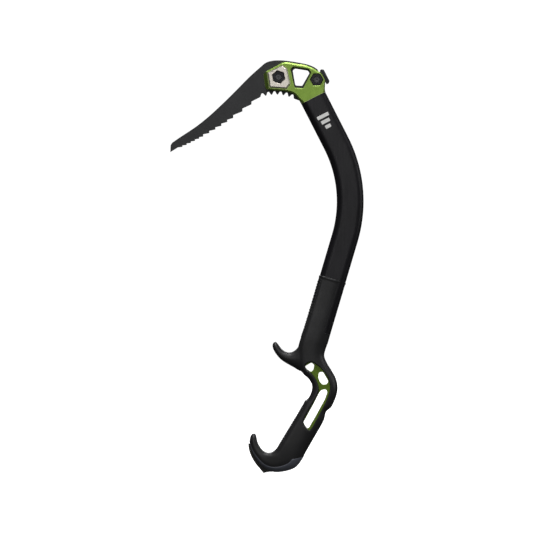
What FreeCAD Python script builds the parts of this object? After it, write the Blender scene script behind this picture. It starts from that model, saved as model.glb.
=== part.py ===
import FreeCAD, Part
import os
from math import atan2, cos, degrees, hypot, radians, sin, tan
from types import SimpleNamespace

import Sketcher
from FreeCAD import Placement, Rotation, Vector

# A technical ice axe, standing upright: +X points to the back of the tool, +Z up, and the
# tool's own mid-plane is Y = 0. The origin is the middle of the lower grip, in the hand.
#
# Three groups share the frame:
#   handle  drawn in the axe's own frame
#   shaft   drawn along its lower axis, then turned to the lower lean
#   head    drawn with its Z along the top of the shaft, its origin where the shaft ends

# Driving dimensions, in millimetres and degrees.
SIZES = {
    # shaft: a bent tube from the handle to the head
    "foot_x": 11.2,
    "foot_z": 107.0,
    "lower_lean": 16.5,
    "lower_straight": 116.5,
    "bend_radius": 154.0,
    "upper_lean": 27.0,
    "upper_straight": 60.3,
    "shaft_width": 32.0,
    "shaft_depth": 23.0,
    "shaft_wall": 1.8,
    "shaft_round": 8.0,
    # sleeve on the lower shaft, and its soft inlay
    "grip_length": 64.7,
    "grip_skin": 0.9,
    "lip_height": 2.5,
    "lip_skin": 0.5,
    "inlay_depth": 0.5,
    "inlay_back": 8.0,
    "rib_margin": 4.0,
    # head and the stem inside the shaft
    "cheek_span": 21.0,
    "head_chamfer": 1.7,
    "head_back": 21.8,
    "window_chamfer": 0.8,
    "slot_gap": 0.15,
    "slot_floor": 5.0,
    "stem_length": 40.0,
    "stem_gap": 0.1,
    "nose_slope": 4.6,
    # pick
    "pick_plate": 4.0,
    "pick_reach": 156.0,
    "pick_bevel": 0.5,
    # bolts through the head, along Y
    "front_bolt_ahead": 26.2,
    "front_bolt_up": 40.9,
    "rear_bolt_behind": 13.2,
    "rear_bolt_up": 17.5,
    "bolt_size": 8.0,
    "bolt_gap": 0.08,
    "bolt_head": 13.0,
    "bolt_head_height": 3.5,
    "bolt_key": 5.0,
    "bolt_key_depth": 2.2,
    "bolt_seat": 5.5,
    "seat_gap": 0.05,
    "washer_width": 15.0,
    "washer_plate": 1.2,
    "bore_gap": 0.3,
    "nut_flats": 13.7,
    "nut_plate": 4.5,
    "nut_gap": 0.15,
    "shank_inset": 0.6,
    "pocket_bevel": 0.7,
    "edge_break": 0.6,
    # stainless plates let into the cheeks
    "weight_plate": 3.8,
    "weight_seat": 8.0,
    "weight_bevel": 2.1,
    # hammer behind the head
    "hammer_length": 18.0,
    "hammer_thick": 4.2,
    "hammer_width": 15.0,
    "hammer_gap": 0.3,
    "ear_plate": 1.5,
    "ear_wall": 3.0,
    "ear_gap": 0.45,
    "hammer_notch": 1.2,
    # handle
    "handle_depth": 26.0,
    "upper_hook_depth": 15.0,
    "pommel_hook_depth": 17.0,
    "frame_depth": 12.0,
    "tang_length": 42.0,
    "tang_gap": 0.1,
    "tang_pin": 4.0,
    "pin_inset": 0.5,
    "lower_pin_up": 12.0,
    "upper_pin_up": 30.0,
    "hatch_back": 7.0,
    "hatch_skin": 0.8,
    "guard_skin": 1.2,
    # spike
    "spike_plate": 4.0,
    "spike_rivet": 4.0,
}

doc = FreeCAD.newDocument("ice_axe")


def fill_sheet():
    """Put the driving dimensions in a spreadsheet and hand them back by name."""
    sheet = doc.addObject("Spreadsheet::Sheet", "Sizes")
    for row, (name, number) in enumerate(SIZES.items(), start=1):
        sheet.set(f"A{row}", name)
        sheet.set(f"B{row}", str(number))
        sheet.setAlias(f"B{row}", name)
    doc.recompute()
    return SimpleNamespace(**{name: float(sheet.get(name)) for name in SIZES})


size = fill_sheet()


# ---------------------------------------------------------------- outlines
# An outline is a list of edges in a sketch's own plane. Points are (x, z) pairs.

def flat(point):
    return Vector(point[0], point[1], 0)


def chain(points):
    """Straight edges from each point to the next."""
    return [Part.LineSegment(flat(a), flat(b)) for a, b in zip(points, points[1:])]


def polygon(points):
    return chain(list(points) + [points[0]])


def curve(points):
    """One smooth edge through the points."""
    spline = Part.BSplineCurve()
    spline.interpolate([flat(p) for p in points])
    return [spline]


def bow(start, through, end):
    """One round edge."""
    return [Part.Arc(flat(start), flat(through), flat(end))]


def rounded(points, radius=None):
    """A polygon whose corners are arcs, each held to under half of its shorter side.

    A point may carry its own radius as a third number; a radius of 0 leaves it sharp.
    """
    corners = []
    count = len(points)
    for i, point in enumerate(points):
        corner = flat(point)
        before = flat(points[i - 1]) - corner
        after = flat(points[(i + 1) % count]) - corner
        bend = radius if len(point) == 2 else point[2]
        half = before.getAngle(after) / 2
        run = min(bend / tan(half), 0.45 * before.Length, 0.45 * after.Length)
        before.normalize()
        after.normalize()
        middle = (before + after).normalize()
        reach = run / cos(half) - run * tan(half)
        corners.append((corner + before * run, corner + middle * reach, corner + after * run))
    edges = []
    for i, (first, through, last) in enumerate(corners):
        edges.append(Part.LineSegment(corners[i - 1][2], first))
        if (last - first).Length > 0.001:
            edges.append(Part.Arc(first, through, last))
    return edges


def rounded_box(width, depth, radius):
    x = width / 2
    y = depth / 2
    return rounded([(-x, -y), (x, -y), (x, y), (-x, y)], radius)


def box_between(left, low, right, high):
    return polygon([(left, low), (right, low), (right, high), (left, high)])


def hexagon(centre, flats, turn):
    """A regular hexagon across its flats, its first corner turned by an angle."""
    radius = flats / 2 / cos(radians(30))
    angles = [radians(turn + 60 * i) for i in range(6)]
    return polygon([(centre[0] + radius * cos(a), centre[1] + radius * sin(a)) for a in angles])


# ---------------------------------------------------------------- features

def new_body(label, place=None):
    body = doc.addObject("PartDesign::Body", label)
    body.Label = label
    if place is not None:
        body.Placement = place
    return body


def new_sketch(body, name, edges, role="XZ_Plane", offset=0.0, place=None):
    """A sketch on one of the body's own planes, moved along the plane's normal."""
    sketch = body.newObject("Sketcher::SketchObject", f"{body.Name}_{name}")
    plane = next(f for f in body.Origin.OriginFeatures if f.Role == role)
    sketch.AttachmentSupport = [(plane, "")]
    sketch.MapMode = "FlatFace"
    sketch.AttachmentOffset = place or Placement(Vector(0, 0, offset), Rotation())
    for edge in edges:
        sketch.addGeometry(edge, False)
    return sketch


def add_circle(sketch, centre, radius, expression):
    """A circle whose radius follows the sheet."""
    index = sketch.addGeometry(Part.Circle(flat(centre), Vector(0, 0, 1), radius), False)
    rule = sketch.addConstraint(Sketcher.Constraint("Radius", index, radius))
    sketch.setExpression(f"Constraints[{rule}]", expression)


def solid_volume(body):
    return body.Shape.Volume if body.Tip else 0.0


def grow(body, sketch, length, symmetric=True, reverse=False):
    """Pad a sketch; its length is an expression on the sheet."""
    before = solid_volume(body)
    pad = body.newObject("PartDesign::Pad", f"{sketch.Name}_pad")
    pad.Profile = sketch
    pad.setExpression("Length", length)
    pad.SideType = "Symmetric" if symmetric else "One side"
    pad.Reversed = reverse
    doc.recompute()
    if body.Shape.Volume <= before:
        raise RuntimeError(f"{pad.Name} adds nothing")
    return pad


def carve(body, sketch, length=None, symmetric=True, reverse=False):
    """Pocket a sketch, through everything unless it has a length."""
    before = solid_volume(body)
    pocket = body.newObject("PartDesign::Pocket", f"{sketch.Name}_cut")
    pocket.Profile = sketch
    pocket.SideType = "Symmetric" if symmetric else "One side"
    pocket.Reversed = reverse
    if length is None:
        pocket.Type = "ThroughAll"
    else:
        pocket.setExpression("Length", length)
    doc.recompute()
    if body.Shape.Volume >= before:
        raise RuntimeError(f"{pocket.Name} cuts nothing")
    return pocket


def flare(body, name, rims):
    """Cut the space between two outlines at two distances along -Y."""
    before = solid_volume(body)
    sketches = []
    for i, (edges, level) in enumerate(rims):
        sketches.append(new_sketch(body, f"{name}_{i}", edges, offset=level))
    loft = body.newObject("PartDesign::SubtractiveLoft", f"{body.Name}_{name}")
    loft.Profile = sketches[0]
    loft.Sections = sketches[1:]
    doc.recompute()
    if body.Shape.Volume >= before:
        raise RuntimeError(f"{loft.Name} cuts nothing")


def bevel(body, chosen, width):
    """Chamfer the edges of the body's last feature that a test picks."""
    before = solid_volume(body)
    last = body.Tip
    names = [f"Edge{i}" for i, edge in enumerate(last.Shape.Edges, start=1) if chosen(edge)]
    chamfer = body.newObject("PartDesign::Chamfer", f"{last.Name}_bevel")
    chamfer.Base = (last, names)
    chamfer.setExpression("Size", width)
    doc.recompute()
    if not chamfer.Shape.isValid() or body.Shape.Volume >= before:
        raise RuntimeError(f"{chamfer.Name} fails on {len(names)} edges")
    return chamfer


def lies_at_y(edge, level):
    box = edge.BoundBox
    return abs(box.YMin - level) < 0.001 and abs(box.YMax - level) < 0.001


def rim_of(outline, *levels):
    """A test for the edges that follow an outline, at these distances along Y."""
    guides = [edge.toShape() for edge in outline]

    def follows(edge):
        if not any(lies_at_y(edge, level) for level in levels):
            return False
        middle = edge.valueAt((edge.FirstParameter + edge.LastParameter) / 2)
        point = Part.Vertex(middle.x, middle.z, 0)
        return min(point.distToShape(guide)[0] for guide in guides) < 0.01

    return follows


# ---------------------------------------------------------------- places

Y_AXIS = Vector(0, 1, 0)


def leaning(lean, base):
    return Placement(base, Rotation(Y_AXIS, lean))


def shaft_top():
    """Where the shaft ends: up the lower straight, round the bend, up the upper straight."""
    low = radians(size.lower_lean)
    high = radians(size.upper_lean)
    x = size.foot_x + size.lower_straight * sin(low)
    z = size.foot_z + size.lower_straight * cos(low)
    x += size.bend_radius * (cos(high) - cos(low)) - size.upper_straight * sin(high)
    z += size.bend_radius * (sin(high) + sin(low)) + size.upper_straight * cos(high)
    return Vector(x, 0, z)


FOOT = leaning(size.lower_lean, Vector(size.foot_x, 0, size.foot_z))
HEAD = leaning(-size.upper_lean, shaft_top())
FRONT_BOLT = (-size.front_bolt_ahead, size.front_bolt_up)
REAR_BOLT = (size.rear_bolt_behind, size.rear_bolt_up)
FRONT_NUT_TURN = 15.0
REAR_NUT_TURN = 34.0


def along_bolt(bolt, level):
    """In the head's frame, a place on a bolt's axis, its own Z turned to +Y."""
    local = Placement(Vector(bolt[0], level, bolt[1]), Rotation(Vector(1, 0, 0), -90))
    return HEAD.multiply(local)


# ---------------------------------------------------------------- shaft

def shaft_path():
    sweep = radians(size.lower_lean + size.upper_lean)
    start = (0, size.lower_straight)

    def on_bend(angle):
        return (size.bend_radius * (cos(angle) - 1), size.lower_straight + size.bend_radius * sin(angle))

    end = on_bend(sweep)
    top = (end[0] - size.upper_straight * sin(sweep), end[1] + size.upper_straight * cos(sweep))
    return chain([(0, 0), start]) + bow(start, on_bend(sweep / 2), end) + chain([end, top])


def shaft_section(inset):
    """The shaft's rounded section, this far inside its outer face."""
    width = size.shaft_width - 2 * inset
    depth = size.shaft_depth - 2 * inset
    return rounded_box(width, depth, size.shaft_round - inset)


def pipe(body, kind, name, section):
    profile = new_sketch(body, name, section, role="XY_Plane")
    path = new_sketch(body, f"{name}_path", shaft_path())
    sweep = body.newObject(f"PartDesign::{kind}", f"{body.Name}_{name}_pipe")
    sweep.Profile = profile
    sweep.Spine = path
    doc.recompute()


def pin_heights():
    return (size.lower_pin_up, size.upper_pin_up)


def add_pin_holes(body, spots):
    sketch = new_sketch(body, "pin_holes", [])
    for spot in spots:
        add_circle(sketch, spot, size.tang_pin / 2, "Sizes.tang_pin / 2")
    carve(body, sketch)


def shaft_tube():
    body = new_body("shaft_tube", FOOT)
    pipe(body, "AdditivePipe", "outside", shaft_section(0))
    pipe(body, "SubtractivePipe", "bore", shaft_section(size.shaft_wall))
    add_pin_holes(body, [(0, height) for height in pin_heights()])
    return body


def tang_pins():
    """Two cross pins through the tube and the frame's tang, hidden under the sleeve."""
    pins = []
    for name, alias in (("lower", "lower_pin_up"), ("upper", "upper_pin_up")):
        pin = doc.addObject("Part::Cylinder", f"tang_pin_{name}")
        pin.setExpression("Radius", "Sizes.tang_pin / 2")
        pin.setExpression("Height", "Sizes.shaft_depth - 2 * Sizes.pin_inset")
        start = Vector(0, size.pin_inset - size.shaft_depth / 2, getattr(size, alias))
        local = Placement(start, Rotation(Vector(1, 0, 0), -90))
        pin.Placement = FOOT.multiply(local)
        pins.append(pin)
    return group("tang_pins", pins)


def group(label, members):
    """Separate solids that share one node."""
    bundle = doc.addObject("Part::Compound", label)
    bundle.Label = label
    bundle.Links = members
    return bundle


# ---------------------------------------------------------------- sleeve on the shaft

def grip_section(inset):
    """The sleeve's outer section, this far inside its outer face."""
    width = size.shaft_width + 2 * (size.grip_skin - inset)
    depth = size.shaft_depth + 2 * (size.grip_skin - inset)
    return rounded_box(width, depth, size.shaft_round + size.grip_skin - inset)


def shaft_grip_ribs():
    body = new_body("shaft_grip_ribs", FOOT)
    ring = new_sketch(body, "ring", grip_section(0) + grip_section(size.inlay_depth), role="XY_Plane")
    grow(body, ring, "Sizes.grip_length", symmetric=False)
    wide = size.shaft_width
    top = size.grip_length
    carve(body, new_sketch(body, "behind", box_between(-size.inlay_back, -1, wide, top + 1)))
    ends = box_between(-wide, -1, wide, size.rib_margin)
    ends += box_between(-wide, top - size.rib_margin, wide, top + 1)
    carve(body, new_sketch(body, "ends", ends))
    return body


def shaft_grip(ribs):
    sleeve = new_body("shaft_grip_sleeve", FOOT)
    ring = new_sketch(sleeve, "ring", grip_section(0) + shaft_section(0), role="XY_Plane")
    grow(sleeve, ring, "Sizes.grip_length", symmetric=False)
    lip = new_sketch(
        sleeve, "lip", grip_section(-size.lip_skin) + shaft_section(0), role="XY_Plane",
        offset=size.grip_length - size.lip_height,
    )
    grow(sleeve, lip, "Sizes.lip_height", symmetric=False)
    return cut_out("shaft_grip", sleeve, [ribs])


def cut_out(label, base, tools):
    """The base with the tools' solids taken out of it."""
    tool = tools[0]
    if len(tools) > 1:
        tool = doc.addObject("Part::MultiFuse", f"{label}_tools")
        tool.Shapes = tools
    result = doc.addObject("Part::Cut", label)
    result.Label = label
    result.Base = base
    result.Tool = tool
    doc.recompute()
    if result.Shape.Volume >= base.Shape.Volume:
        raise RuntimeError(f"{label} is not cut")
    return result


# ---------------------------------------------------------------- pick

# The blade's top line, from the tip back to the front bolt: how far along the reach a
# point lies, from 0 at the bolt to 1 at the tip, and how high it stands.
SPINE_AHEAD = [(0.85, 31.4), (0.745, 33.3), (0.635, 36.6), (0.515, 41.6)]
SPINE_AHEAD += [(0.395, 47.3), (0.27, 53.8), (0.15, 59.6), (0.075, 62.6)]
SPINE_OVER_HEAD = [(-34.0, 63.6), (-26.0, 63.2), (-18.0, 60.2), (-8.0, 54.5)]
SPINE_OVER_HEAD += [(0.0, 48.8), (8.0, 42.7), (14.7, 36.6), (20.0, 28.4)]
PICK_WINDOW = [(-7.0, 41.0), (-3.4, 41.8), (9.2, 32.6), (9.6, 29.0), (-5.4, 19.2), (-12.4, 23.4)]
LAST_TOOTH = -56.0
BEAK_LENGTH = 7.5
TOOTH_FACE = 0.12             # how much of a saw tooth's pitch its steep face takes
# Groups of saw teeth from the head towards the tip: count, pitch, depth.
SAW_TEETH = [(3, 13.5, 3.0), (5, 8.4, 2.4), (8, 5.6, 1.6)]
# Blunt teeth under the head, on an arc that starts at the last saw tooth: its centre and
# radius, the angles where it starts and ends, and how many teeth there are.
ARCH_CENTRE = (-61.4, -21.0)
ARCH_RADIUS = 51.2
ARCH_FROM = 84.2
ARCH_TO = 37.3
ARCH_TEETH = 6
# The gullets between them: depth, and in shares of the pitch half of a tooth's flat tip and
# where a gullet's flank ends.
GULLET_DEPTH = 3.8
TIP_FLAT = 0.09
GULLET_FLANK = 0.38
TAIL_WALL = 3.2


def tip_x():
    return -size.front_bolt_ahead - size.pick_reach


def cutting_line(x):
    """How high the row of saw teeth lies: a shallow parabola ahead of the last tooth."""
    ahead = LAST_TOOTH - x
    return 30.3 - 0.24 * ahead + 0.00128 * ahead * ahead


def saw_points():
    """The saw teeth from the head to the beak, each a gentle run and then a steep face.

    Each group gives its number of teeth, and the last one goes on for as long as teeth fit.
    """
    groups = [(pitch, depth) for count, pitch, depth in SAW_TEETH for _ in range(count)]
    points = []
    x = LAST_TOOTH
    while True:
        pitch, depth = groups.pop(0) if len(groups) > 1 else groups[0]
        if x - pitch < tip_x() + BEAK_LENGTH:
            return points
        points.append((x, cutting_line(x)))
        x -= pitch
        points.append((x + TOOTH_FACE * pitch, cutting_line(x) + depth))


def on_arch(angle, deeper=0.0):
    radius = ARCH_RADIUS + deeper
    return (ARCH_CENTRE[0] + radius * cos(angle), ARCH_CENTRE[1] + radius * sin(angle))


def arch_points():
    """Blunt teeth from the shaft to the last saw tooth, each with a gullet after it."""
    pitch = radians(ARCH_FROM - ARCH_TO) / ARCH_TEETH
    points = []
    for i in range(ARCH_TEETH):
        tip = radians(ARCH_TO) + pitch * i
        points.append(on_arch(tip - TIP_FLAT * pitch))
        points.append(on_arch(tip + TIP_FLAT * pitch))
        points.append(on_arch(tip + GULLET_FLANK * pitch, GULLET_DEPTH))
        points.append(on_arch(tip + (1 - GULLET_FLANK) * pitch, GULLET_DEPTH))
    return points


def beak_points():
    tip = tip_x()
    return [(tip, 20.4), (tip + 4.0, 27.5), (tip + 7.0, 29.3)]


def spine_points():
    ahead = [(-size.front_bolt_ahead - share * size.pick_reach, z) for share, z in SPINE_AHEAD]
    return [beak_points()[-1]] + ahead + SPINE_OVER_HEAD


def pick_outline():
    """Round from the beak: the spine, the tail behind the rear bolt, the foot and the teeth."""
    beak = beak_points()
    spine = spine_points()
    x, z = REAR_BOLT
    tail = size.bolt_size / 2 + TAIL_WALL
    below = radians(-75)
    tail_low = (x + tail * cos(below), z + tail * sin(below))
    tail_mid = (x + tail * cos(below / 2), z + tail * sin(below / 2))
    foot = size.slot_floor + 1.0
    arch = arch_points()
    edges = chain(beak) + curve(spine) + chain([spine[-1], (x + tail, z)])
    edges += bow((x + tail, z), tail_mid, tail_low)
    edges += chain([tail_low, (2.0, foot), (-17.0, foot)] + arch + saw_points() + [beak[0]])
    return edges


def pick():
    body = new_body("pick", HEAD)
    grow(body, new_sketch(body, "outline", pick_outline()), "Sizes.pick_plate")
    carve(body, new_sketch(body, "window", rounded(PICK_WINDOW, 2.0)))
    add_bolt_holes(body)
    half = size.pick_plate / 2
    bevel(body, rim_of(curve(spine_points()), half, -half), "Sizes.pick_bevel")
    return body


def add_bolt_holes(body, bolts=(FRONT_BOLT, REAR_BOLT)):
    sketch = new_sketch(body, "bolt_holes", [])
    for bolt in bolts:
        radius = size.bolt_size / 2 + size.bolt_gap
        add_circle(sketch, bolt, radius, "Sizes.bolt_size / 2 + Sizes.bolt_gap")
    carve(body, sketch)


# ---------------------------------------------------------------- head

HEAD_WINDOW = [(-9.0, 42.6), (-4.8, 44.0), (10.2, 33.2), (11.0, 28.0), (-6.0, 15.8), (-14.6, 21.0)]
WEIGHT_OUTLINE = [(-36.0, 51.8), (-15.7, 51.9), (-12.1, 45.6), (-17.0, 27.0), (-24.0, 23.6), (-42.0, 34.5)]
NOSE_LOW = WEIGHT_OUTLINE[-1]
NOSE_HIGH = WEIGHT_OUTLINE[0]
# How the shaft's rounded section grows into the head: height, how far ahead of the shaft's
# front and behind the head's back it reaches there, and its corner radius.
NECK = [(12.0, 2.7, 0.6, 5.5), (24.0, 14.3, 2.2, 2.5), (60.0, 74.3, 8.2, 1.2)]


def head_outline():
    half = size.shaft_width / 2
    rear = size.head_back
    back = [(half, 0, 0), (half + 0.8, 3.0, 8.0), (rear, 12.0, 6.0), (rear, 21.5, 9.0), (15.6, 31.6, 12.0)]
    top = [(9.0, 39.2, 20.0), (-10.6, 53.4, 8.0), (-15.0, 54.3, 5.0), (-35.8, 53.8, 2.0)]
    nose = [(-40.2, 53.0, 2.0), (-45.2, 42.5, 6.0), (-45.4, 35.2, 3.0), (-42.4, 32.2, 3.0)]
    throat = [(-26.2, 22.4, 40.0), (-18.2, 15.4, 12.0), (-half, 5.0, 12.0), (-half, 0, 0)]
    return rounded(back + top + nose + throat)


def head_slot():
    """Everything between the cheeks, above the floor of the slot."""
    wide = 2 * size.shaft_width
    high = 3 * size.shaft_width
    return box_between(-wide, size.slot_floor, wide, high)


def ear_outline(margin):
    """The hammer's ears round the rear bolt, grown by a margin."""
    x, z = REAR_BOLT
    radius = size.bolt_size / 2 + size.ear_wall + margin
    back = hammer_front() + margin
    return (
        bow((x, z - radius), (x - radius, z), (x, z + radius))
        + chain([(x, z + radius), (back, z + radius), (back, z - radius), (x, z - radius)])
    )


def head_nose(body):
    """The front end of each cheek slopes down to the pick."""
    turn = degrees(atan2(NOSE_HIGH[0] - NOSE_LOW[0], NOSE_HIGH[1] - NOSE_LOW[1]))
    place = Placement(Vector(NOSE_LOW[0], 0, NOSE_LOW[1]), Rotation(Y_AXIS, turn))
    out = -3 * size.nose_slope
    inside = 0.4
    edges = []
    for side in (-1, 1):
        top = side * (size.cheek_span / 2 + 1)
        foot = side * size.pick_plate / 2
        edges += polygon([(inside, top), (out, top), (out, foot), (-size.nose_slope, foot)])
    carve(body, new_sketch(body, "nose", edges, role="XY_Plane", place=place))


def neck_envelope():
    """A solid that grows from the shaft's rounded section, to round the head where it starts."""
    half = size.shaft_width / 2
    rows = [(0.0, -half, half, size.shaft_round)]
    rows += [(up, -half - ahead, size.head_back + behind, bend) for up, ahead, behind, bend in NECK]
    wires = []
    for up, front, back, radius in rows:
        section = rounded_box(back - front, size.shaft_depth, radius)
        wire = Part.Wire([edge.toShape() for edge in section])
        wire.translate(Vector((front + back) / 2, 0, up))
        wires.append(wire)
    stem = Part.Face(wires[0]).extrude(Vector(0, 0, -size.stem_length - 1))
    envelope = doc.addObject("Part::Feature", "neck_envelope")
    envelope.Shape = Part.makeLoft(wires, True, True).fuse(stem)
    envelope.Placement = HEAD
    return envelope


def head():
    body = new_body("head_block", HEAD)
    face = size.cheek_span / 2
    outline = head_outline()
    grow(body, new_sketch(body, "outline", outline), "Sizes.cheek_span")
    on_rim = rim_of(outline, face, -face)
    at_joint = rim_of(chain([(-size.shaft_width, 0), (size.shaft_width, 0)]), face, -face)
    bevel(body, lambda edge: on_rim(edge) and not at_joint(edge), "Sizes.head_chamfer")
    stem = new_sketch(body, "stem", shaft_section(size.shaft_wall + size.stem_gap), role="XY_Plane")
    grow(body, stem, "Sizes.stem_length", symmetric=False, reverse=True)
    window = rounded(HEAD_WINDOW, 2.0)
    carve(body, new_sketch(body, "window", window))
    bevel(body, rim_of(window, face, -face), "Sizes.window_chamfer")
    head_nose(body)
    slot = new_sketch(body, "slot", head_slot())
    carve(body, slot, "Sizes.pick_plate + 2 * Sizes.slot_gap")
    ears = new_sketch(body, "ears", ear_outline(size.ear_gap))
    carve(body, ears, "Sizes.pick_plate + 4 * Sizes.slot_gap + 2 * Sizes.ear_plate")
    add_bolt_holes(body)
    weight_recesses(body)
    nut_pockets(body)
    washer_bores(body)
    shaped = doc.addObject("Part::MultiCommon", "head")
    shaped.Label = "head"
    shaped.Shapes = [body, neck_envelope()]
    doc.recompute()
    return shaped


def weight_recesses(body):
    seat = size.weight_seat
    edges = polygon(WEIGHT_OUTLINE)
    carve(body, new_sketch(body, "near_recess", edges, offset=seat), symmetric=False, reverse=True)
    carve(body, new_sketch(body, "far_recess", edges, offset=-seat), symmetric=False)


def nut_pockets(body):
    flats = size.nut_flats + 2 * size.nut_gap
    edges = hexagon(FRONT_BOLT, flats, FRONT_NUT_TURN) + hexagon(REAR_BOLT, flats, REAR_NUT_TURN)
    sketch = new_sketch(body, "nut_pockets", edges, offset=size.bolt_seat)
    carve(body, sketch, symmetric=False, reverse=True)
    over = 0.1
    face = size.cheek_span / 2
    levels = [(face + over, flats + 2 * (size.pocket_bevel + over)), (face - size.pocket_bevel, flats)]
    rims = [(hexagon(REAR_BOLT, wide, REAR_NUT_TURN), level) for level, wide in levels]
    flare(body, "pocket_rim", rims)


def washer_bores(body):
    sketch = new_sketch(body, "washer_bores", [], offset=-size.bolt_seat)
    for bolt in (FRONT_BOLT, REAR_BOLT):
        radius = size.washer_width / 2 + size.bore_gap
        add_circle(sketch, bolt, radius, "Sizes.washer_width / 2 + Sizes.bore_gap")
    carve(body, sketch, symmetric=False)


# ---------------------------------------------------------------- plates, bolts and nuts

def pick_weight(label, side):
    """A bevelled hexagonal plate: near side (side = -1) round the nut, far side round the bolt."""
    body = new_body(label, HEAD)
    near = side < 0
    plate = new_sketch(body, "plate", polygon(WEIGHT_OUTLINE), offset=-side * size.weight_seat)
    grow(body, plate, "Sizes.weight_plate", symmetric=False, reverse=not near)
    face = side * (size.weight_seat + size.weight_plate)
    bevel(body, lambda edge: lies_at_y(edge, face), "Sizes.weight_bevel")
    if near:
        edges = hexagon(FRONT_BOLT, size.nut_flats + 2 * size.nut_gap, FRONT_NUT_TURN)
        hole = new_sketch(body, "hole", edges)
    else:
        radius = size.washer_width / 2 + size.bore_gap
        edges = [Part.Circle(flat(FRONT_BOLT), Vector(0, 0, 1), radius)]
        hole = new_sketch(body, "hole", [])
        add_circle(hole, FRONT_BOLT, radius, "Sizes.washer_width / 2 + Sizes.bore_gap")
    carve(body, hole)
    bevel(body, rim_of(edges, face), "Sizes.edge_break")
    return body


def washer(label, bolt):
    body = new_body(label, along_bolt(bolt, size.bolt_seat + size.seat_gap))
    ring = new_sketch(body, "ring", [], role="XY_Plane")
    add_circle(ring, (0, 0), size.washer_width / 2, "Sizes.washer_width / 2")
    radius = size.bolt_size / 2 + size.bolt_gap
    add_circle(ring, (0, 0), radius, "Sizes.bolt_size / 2 + Sizes.bolt_gap")
    grow(body, ring, "Sizes.washer_plate", symmetric=False)
    return body


def bolt_head_seat():
    """Where a bolt's head sits along Y: on its washer, on the seat in the cheek."""
    return size.bolt_seat + size.washer_plate + 2 * size.seat_gap


def shank_length():
    """The shank ends just inside the nut's outer face."""
    return bolt_head_seat() + size.bolt_seat + size.nut_plate - size.shank_inset


def socket_bolt(label, bolt):
    """A low-head socket bolt, its head towards +Y and a dimple in the end of its shank."""
    body = new_body(label, along_bolt(bolt, bolt_head_seat()))
    top = new_sketch(body, "head", [], role="XY_Plane")
    add_circle(top, (0, 0), size.bolt_head / 2, "Sizes.bolt_head / 2")
    grow(body, top, "Sizes.bolt_head_height", symmetric=False)
    bevel(body, lambda e: abs(e.BoundBox.ZMin - size.bolt_head_height) < 0.001, "Sizes.edge_break")
    shank = new_sketch(body, "shank", [], role="XY_Plane")
    add_circle(shank, (0, 0), size.bolt_size / 2, "Sizes.bolt_size / 2")
    reach = "2 * Sizes.bolt_seat + Sizes.washer_plate + 2 * Sizes.seat_gap"
    reach += " + Sizes.nut_plate - Sizes.shank_inset"
    grow(body, shank, reach, symmetric=False, reverse=True)
    bevel(body, lambda e: abs(e.BoundBox.ZMax + shank_length()) < 0.001, "Sizes.edge_break")
    key = new_sketch(
        body, "key", hexagon((0, 0), size.bolt_key, 0), role="XY_Plane", offset=size.bolt_head_height,
    )
    carve(body, key, "Sizes.bolt_key_depth", symmetric=False)
    dimple = new_sketch(body, "dimple", [], role="XY_Plane", offset=-shank_length())
    add_circle(dimple, (0, 0), size.bolt_size / 5, "Sizes.bolt_size / 5")
    carve(body, dimple, "Sizes.bolt_size / 6", symmetric=False, reverse=True)
    return body


def pick_nut(name, bolt, turn):
    """A hexagon nut in the near cheek, its axis along the bolt."""
    body = new_body(name, HEAD)
    outline = new_sketch(body, "outline", hexagon(bolt, size.nut_flats, turn), offset=size.bolt_seat)
    grow(body, outline, "Sizes.nut_plate", symmetric=False)
    face = -(size.bolt_seat + size.nut_plate)
    bevel(body, lambda edge: lies_at_y(edge, face), "Sizes.edge_break")
    hole = new_sketch(body, "thread", [])
    radius = size.bolt_size / 2 + size.bolt_gap
    add_circle(hole, bolt, radius, "Sizes.bolt_size / 2 + Sizes.bolt_gap")
    carve(body, hole)
    return body


def pick_nuts():
    front = pick_nut("front_nut", FRONT_BOLT, FRONT_NUT_TURN)
    rear = pick_nut("rear_nut", REAR_BOLT, REAR_NUT_TURN)
    return group("pick_nuts", [front, rear])


# ---------------------------------------------------------------- hammer

def hammer_front():
    """The bar starts just behind the cheeks."""
    return size.head_back + size.hammer_gap


def micro_hammer():
    """A bar across the back of the head, on two ears that the rear bolt goes through."""
    body = new_body("micro_hammer", HEAD)
    front = hammer_front()
    back = front + size.hammer_thick
    middle = size.rear_bolt_up - 0.5
    low = middle - size.hammer_length / 2
    high = middle + size.hammer_length / 2
    notch = size.hammer_notch
    bar = [(front, low), (back - notch, low), (back - notch, low + notch), (back, low + notch)]
    bar += [(back, high - notch), (back - notch, high - notch), (back - notch, high), (front, high)]
    grow(body, new_sketch(body, "bar", polygon(bar)), "Sizes.hammer_width")
    ears = new_sketch(body, "ears", ear_outline(0))
    grow(body, ears, "Sizes.pick_plate + 2 * Sizes.slot_gap + 2 * Sizes.ear_plate")
    gap = box_between(-size.shaft_width, low - 1, front, high + 1)
    carve(body, new_sketch(body, "gap", gap), "Sizes.pick_plate + 2 * Sizes.slot_gap")
    add_bolt_holes(body, (REAR_BOLT,))
    return body


# ---------------------------------------------------------------- handle

def across_foot(along, side):
    """A point on the line where the handle meets the sleeve, measured from the shaft's axis."""
    lean = radians(size.lower_lean)
    x = size.foot_x + side * cos(lean) + along * sin(lean)
    z = size.foot_z - side * sin(lean) + along * cos(lean)
    return (x, z)


def grip_half():
    return size.shaft_width / 2 + size.grip_skin


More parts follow.
